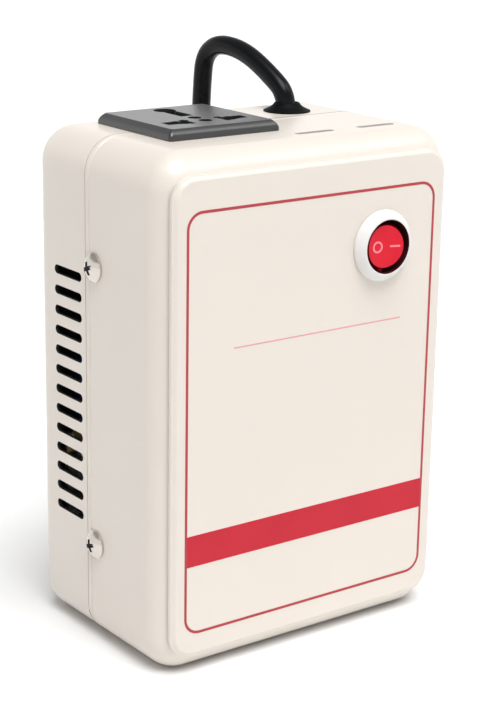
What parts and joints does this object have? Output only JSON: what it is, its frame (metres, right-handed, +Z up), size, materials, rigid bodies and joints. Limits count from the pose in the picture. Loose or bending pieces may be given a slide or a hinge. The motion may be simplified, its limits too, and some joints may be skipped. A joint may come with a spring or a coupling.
{
  "type": "travel voltage converter",
  "caption": "Upright mains step-down converter in a two-part steel case, with a round rocker switch, a universal outlet on top and a captive supply cord.",
  "frame": {"origin": "middle of the case's flat base, on the surface that it stands on", "axes": "+Z up; the front with the switch faces -Y; +X to the right seen from the front"},
  "size_m": [0.1774, 0.197, 0.1791],
  "materials": {
    "case_enamel": "gloss off-white stoved enamel",
    "screw_nickel": "bright nickel plate",
    "bolt_zinc": "zinc plate",
    "switch_white": "moulded gloss",
    "switch_red": "moulded gloss",
    "plunger_nylon": "natural nylon",
    "contact_brass": "bright rolled strip",
    "socket_black": "fine moulded matt",
    "bush_black": "moulded nylon",
    "cord_black": "soft PVC sheath",
    "tie_black": "flat band",
    "core_steel": "varnished laminations",
    "winding_copper": "enamelled copper wire",
    "wrap_tape": "polyester film",
    "fuse_sleeve": "glass sleeving",
    "wire_blue": "PVC insulation"
  },
  "bodies": {
    "case": {"front_shell": "case_enamel", "rear_shell": "case_enamel", "side_screws": "screw_nickel", "switch_housing": "switch_white", "switch_terminals": "contact_brass", "socket_faceplate": "socket_black", "socket_base": "socket_black", "socket_contact_left": "contact_brass", "socket_contact_right": "contact_brass", "socket_contact_earth": "contact_brass", "socket_screws": "bolt_zinc", "cable_bush": "bush_black", "cord_stub": "cord_black", "cord_lead": "cord_black", "cord_coil": "cord_black", "coil_tie": "tie_black", "plug_body": "cord_black", "plug_pins": "screw_nickel", "core_e_stack": "core_steel", "core_i_stack": "core_steel", "coil_bobbin": "plunger_nylon", "winding_tags": "contact_brass", "common_winding": "winding_copper", "series_winding": "winding_copper", "winding_wrap": "wrap_tape", "core_bracket": "bolt_zinc", "bracket_bolts": "bolt_zinc", "bracket_nuts": "bolt_zinc", "bracket_washers": "bolt_zinc", "earth_tag": "contact_brass", "thermal_fuse": "fuse_sleeve", "wires": "wire_blue"},
    "rocker": {"switch_rocker": "switch_red", "switch_plunger": "plunger_nylon", "switch_spring": "bolt_zinc"},
    "lever": {"switch_lever": "contact_brass"}
  },
  "joints": [
    {"name": "rocker_hinge", "type": "hinge", "parent": "case", "child": "rocker", "pos_m": [0.0254, -0.036, 0.1242], "axis": [0, 0, 1], "range_deg": [0, 22]},
    {"name": "lever_hinge", "type": "hinge", "parent": "case", "child": "lever", "pos_m": [0.0254, -0.0279, 0.1242], "axis": [0, 0, 1], "range_deg": [-11, 0]}
  ],
  "couplings": [
    {"joint": "lever_hinge", "follows": "rocker_hinge", "ratio": -0.5}
  ]
}
